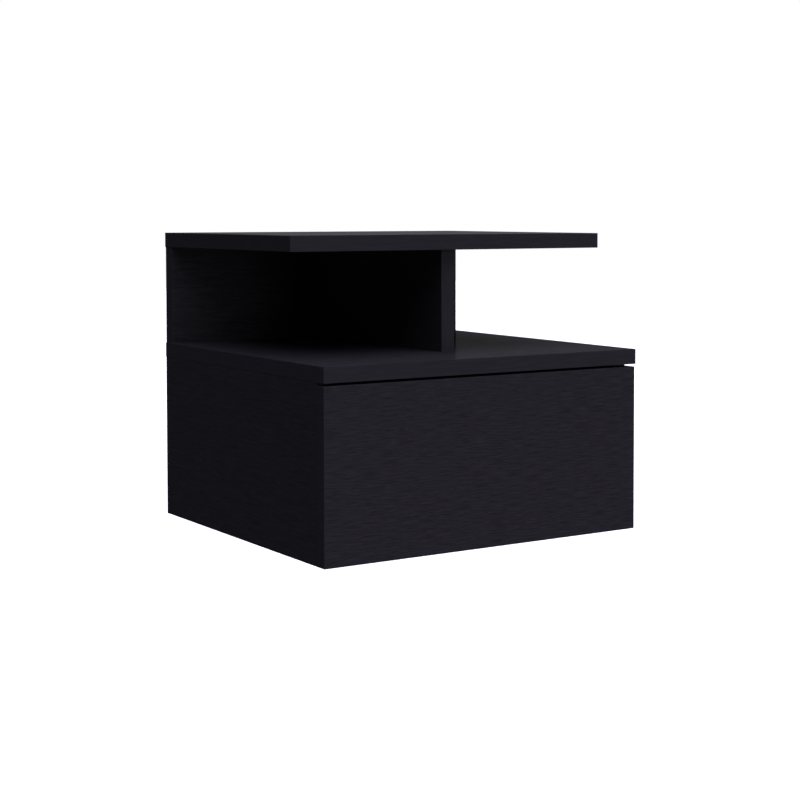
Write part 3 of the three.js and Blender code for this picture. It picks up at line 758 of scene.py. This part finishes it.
def cam_bolt(node, along):
    """A bolt that is turned in up to its collar. Its neck and head reach into the cam's housing."""
    winding = (0.4, 10.8, 1.6)
    collar_top = 26.3
    neck = 2
    top = length_of(node, along)
    head = [(2.5, top - 4.5), (2.7, top - 4.25), (2.7, top - 0.45), (2.3, top), (0, top)]
    profile = [(0, 0), *thread(2.4, *winding), *eased(radius=3.6, low=11.05, high=collar_top, ease=0.3),
               (neck, collar_top), (neck, top - 4.65), *head]
    turn_in(node, turned(profile, THREAD_SIDES, helix(*winding)), along)


def countersunk_screw(node, along, head, rim, cone, shank, core, start, pitch, socket):
    """A flat-headed screw: radii of its head, shank and core, heights of its rim, cone and thread start."""
    point = length_of(node, along)
    winding = (start, point - 4, pitch)
    profile = [(0, 0), (head - 0.2, 0), (head, 0.2), (head, rim), (shank, cone), (shank, start - 0.25),
               *thread(core, *winding), (core / 2, point - 1.75), (0, point)]
    turn_in(node, cut(turned(profile, THREAD_SIDES, helix(*winding)), socket), along)


def connector_screw(node, along):
    socket = [rod(radius=2.3, low=-OVERCUT, high=2.2, sides=6)]
    countersunk_screw(node, along, head=4.8, rim=0.8, cone=3.35, shank=3.4, core=2.4,
                      start=14.25, pitch=2.4, socket=socket)


def wood_screw(node, along):
    socket = cross(length=4.4, width=0.9, low=-OVERCUT, high=1.6)
    countersunk_screw(node, along, head=3.8, rim=0.4, cone=2.35, shank=2, core=1.8,
                      start=11.25, pitch=1.8, socket=socket)


def pan_screw(node, along):
    """A screw with a domed head, which is plain where it passes the sheet that it holds."""
    radius = 1.6
    head_height = 1.6
    pitch = 1.3
    point = length_of(node, along)
    thread_top = point - 2.5
    profile = [*dome(3.1, head_height), (radius, head_height), *thread(radius, 1.9, thread_top, pitch),
               (radius / 2, point - 1.15), (0, point)]
    body = turned(profile, THREAD_SIDES, helix(3.2, thread_top, pitch, depth=0.4))
    turn_in(node, cut(body, cross(length=3.2, width=0.75, low=-OVERCUT, high=1.0)), along)


def rivet(node, along):
    """A stepped rivet: closed behind the sheet, a shoulder, the roller's journal and a dimpled head."""
    journal = 2.5
    sheet = 1.2
    top = length_of(node, along)
    shoulder_top = top - 5.3
    head_low = top - 0.9
    dimple = top - 0.35
    head = [(4, head_low), (4, dimple), (3.6, top), (1.5, top), (1, dimple), (0, dimple)]
    shoulder = eased(radius=4.5, low=sheet, high=shoulder_top, ease=0.2)
    profile = [(0, 0), (2.2, 0), (journal, 0.3), (journal, sheet), *shoulder,
               (journal, shoulder_top), (journal, head_low), *head]
    turn_in(node, turned(profile), along)


def roller(node, along):
    """A moulded roller with a rounded rim, a recess for the rivet's head and a ring of pockets round it."""
    low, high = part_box(node)
    rim = (high.z - low.z) / 2 / MM
    width = length_of(node, along)
    bore = 2.8
    recess = 4.6
    recess_floor = width - 1.4
    profile = [(bore, 0), (rim - 0.5, 0), (rim - 0.15, 0.15), (rim, 0.5), (rim, width - 0.5),
               (rim - 0.15, width - 0.15), (rim - 0.5, width), (recess + 0.2, width), (recess, width - 0.2),
               (recess, recess_floor), (bore, recess_floor), (bore, 0)]
    count = 5
    pockets = []
    for step in range(count):
        place = Matrix.Rotation(2 * math.pi * step / count, 3, "Z") @ (CROSSWISE * (recess + rim) / 2)
        pocket = rod(radius=1.1, low=width - 2.2, high=width + OVERCUT, sides=20)
        pockets.append(moved(pocket, place, UPWARDS, CROSSWISE))
    fit_in(node, cut(turned(profile, sides=72), pockets), nylon, along, LENGTHWISE)


def dowel(node):
    """A dowel with the same rounded tip at each end and flutes between them."""
    tip = [(0, 0), (2.8, 0), (3.6, 0.8), (3.8, 1.4), (3.8, 1.9)]
    top = length_of(node, UPWARDS)
    profile = tip + [(radius, top - height) for radius, height in reversed(tip)]
    made = turned(profile, sides=96, relief=flutes(count=24, depth=0.3, low=1.5, high=top - 1.5))
    fit_in(node, made, dowel_wood, UPWARDS, CROSSWISE)


for end in ("front", "rear"):
    connector_screw("divider_screw_" + end, UPWARDS)
    dowel("divider_dowel_" + end)
for hand, inwards in INWARDS.items():
    for end in ("front", "rear"):
        cam(hand + "_side_cam_" + end, inwards, UPWARDS)
        cam_bolt(hand + "_side_bolt_" + end, -UPWARDS)
        pan_screw("case_runner_screw_" + hand + "_" + end, -inwards)
        pan_screw("drawer_runner_screw_" + hand + "_" + end, UPWARDS)
    cam("lower_back_" + hand + "_cam", -LENGTHWISE, -inwards)
    cam_bolt("lower_back_" + hand + "_bolt", inwards)
    cam("upper_back_" + hand + "_cam", LENGTHWISE, UPWARDS)
    cam_bolt("upper_back_" + hand + "_bolt", -UPWARDS)
    connector_screw("upper_back_screw_" + hand, UPWARDS)
    cam("drawer_front_" + hand + "_cam", inwards, -LENGTHWISE)
    cam_bolt("drawer_front_" + hand + "_bolt", LENGTHWISE)
    wood_screw("drawer_back_screw_" + hand, inwards)
    for label, out in (("case_", inwards), ("drawer_", -inwards)):
        roller(label + hand + "_roller", out)
        rivet(label + hand + "_roller_rivet", out)
